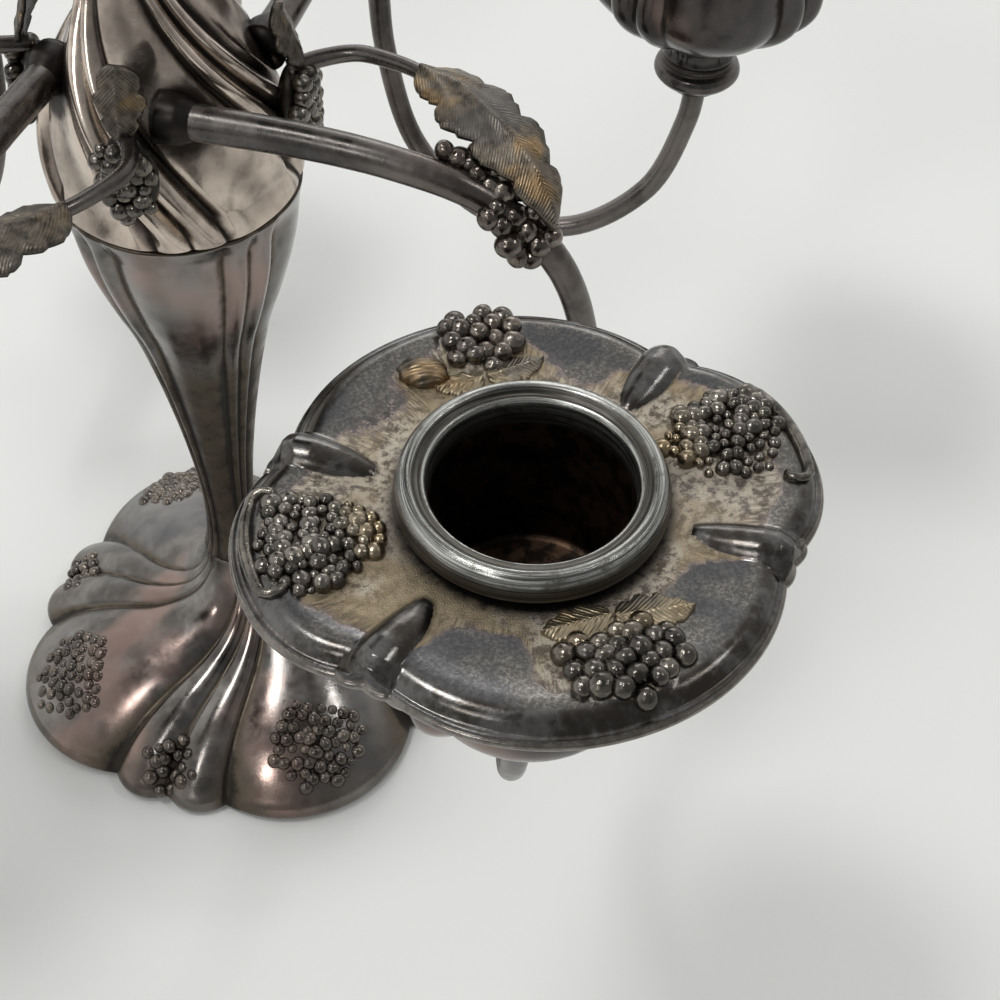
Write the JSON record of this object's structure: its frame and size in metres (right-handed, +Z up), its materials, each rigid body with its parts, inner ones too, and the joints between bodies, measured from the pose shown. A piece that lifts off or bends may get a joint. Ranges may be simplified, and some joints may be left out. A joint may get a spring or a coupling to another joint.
{
  "type": "candelabrum",
  "caption": "Table candelabrum of tarnished silver plate: a lobed foot and vase column carry curling branches with grape-set drip pans and candle sockets, and one more light above.",
  "frame": {"origin": "centre of the foot, on the table", "axes": "+Z up along the column; the outer lights stand on the -Y, +X, +Y and -X sides"},
  "size_m": [0.2494, 0.2494, 0.225],
  "materials": {
    "tarnished_silver": "old silver plate, brown-black tarnish with blue, copper and gold tints, polished smooth",
    "dark_silver": "nearly black tarnish on rods and turned collars, half glossy",
    "worn_silver": "bright worn silver with fine rubbed scratches, darker inside the bore",
    "pan_silver": "polished border round a matted gold-brown ground, with black tarnish in the hollows",
    "grape_silver": "cast grapes and veined leaves, gold-brown with black in the hollows",
    "brass": "dull turned brass",
    "steel": "plain steel rod, nut, washer and screws",
    "ballast": "set pitch and plaster",
    "felt": "dark green felt"
  },
  "bodies": {
    "column": {"foot_felt": "felt", "foot_ballast": "ballast", "foot_shell": "tarnished_silver", "tie_rod": "steel", "tie_rod_washer": "steel", "tie_rod_nut": "steel", "column": "tarnished_silver", "column_socket": "brass"},
    "branches": {"branch_plug": "brass", "branch_dome": "tarnished_silver", "centre_stem": "tarnished_silver", "arm_1": "dark_silver", "arm_2": "dark_silver", "arm_3": "dark_silver", "arm_4": "dark_silver", "vine_1": "grape_silver", "vine_2": "grape_silver", "vine_3": "grape_silver", "vine_4": "grape_silver", "shoulder_grapes_1": "grape_silver", "shoulder_grapes_2": "grape_silver", "shoulder_grapes_3": "grape_silver", "shoulder_grapes_4": "grape_silver", "collar_1": "dark_silver", "collar_2": "dark_silver", "collar_3": "dark_silver", "collar_4": "dark_silver", "collar_5": "dark_silver", "cup_screw_1": "steel", "cup_screw_2": "steel", "cup_screw_3": "steel", "cup_screw_4": "steel", "cup_screw_5": "steel", "cup_1": "tarnished_silver", "cup_2": "tarnished_silver", "cup_3": "tarnished_silver", "cup_4": "tarnished_silver", "cup_5": "tarnished_silver"},
    "light_1": {"drip_pan_1": "pan_silver", "nozzle_1": "worn_silver"},
    "light_2": {"drip_pan_2": "pan_silver", "nozzle_2": "worn_silver"},
    "light_3": {"drip_pan_3": "pan_silver", "nozzle_3": "worn_silver"},
    "light_4": {"drip_pan_4": "pan_silver", "nozzle_4": "worn_silver"},
    "light_5": {"drip_pan_5": "pan_silver", "nozzle_5": "worn_silver"}
  },
  "joints": [
    {"name": "branches_lift", "type": "slide", "parent": "column", "child": "branches", "axis": [0, 0, 1], "range_m": [0, 0.03]},
    {"name": "light_1_lift", "type": "slide", "parent": "branches", "child": "light_1", "axis": [0, 0, 1], "range_m": [0, 0.035]},
    {"name": "light_2_lift", "type": "slide", "parent": "branches", "child": "light_2", "axis": [0, 0, 1], "range_m": [0, 0.035]},
    {"name": "light_3_lift", "type": "slide", "parent": "branches", "child": "light_3", "axis": [0, 0, 1], "range_m": [0, 0.035]},
    {"name": "light_4_lift", "type": "slide", "parent": "branches", "child": "light_4", "axis": [0, 0, 1], "range_m": [0, 0.035]},
    {"name": "light_5_lift", "type": "slide", "parent": "branches", "child": "light_5", "axis": [0, 0, 1], "range_m": [0, 0.035]}
  ]
}
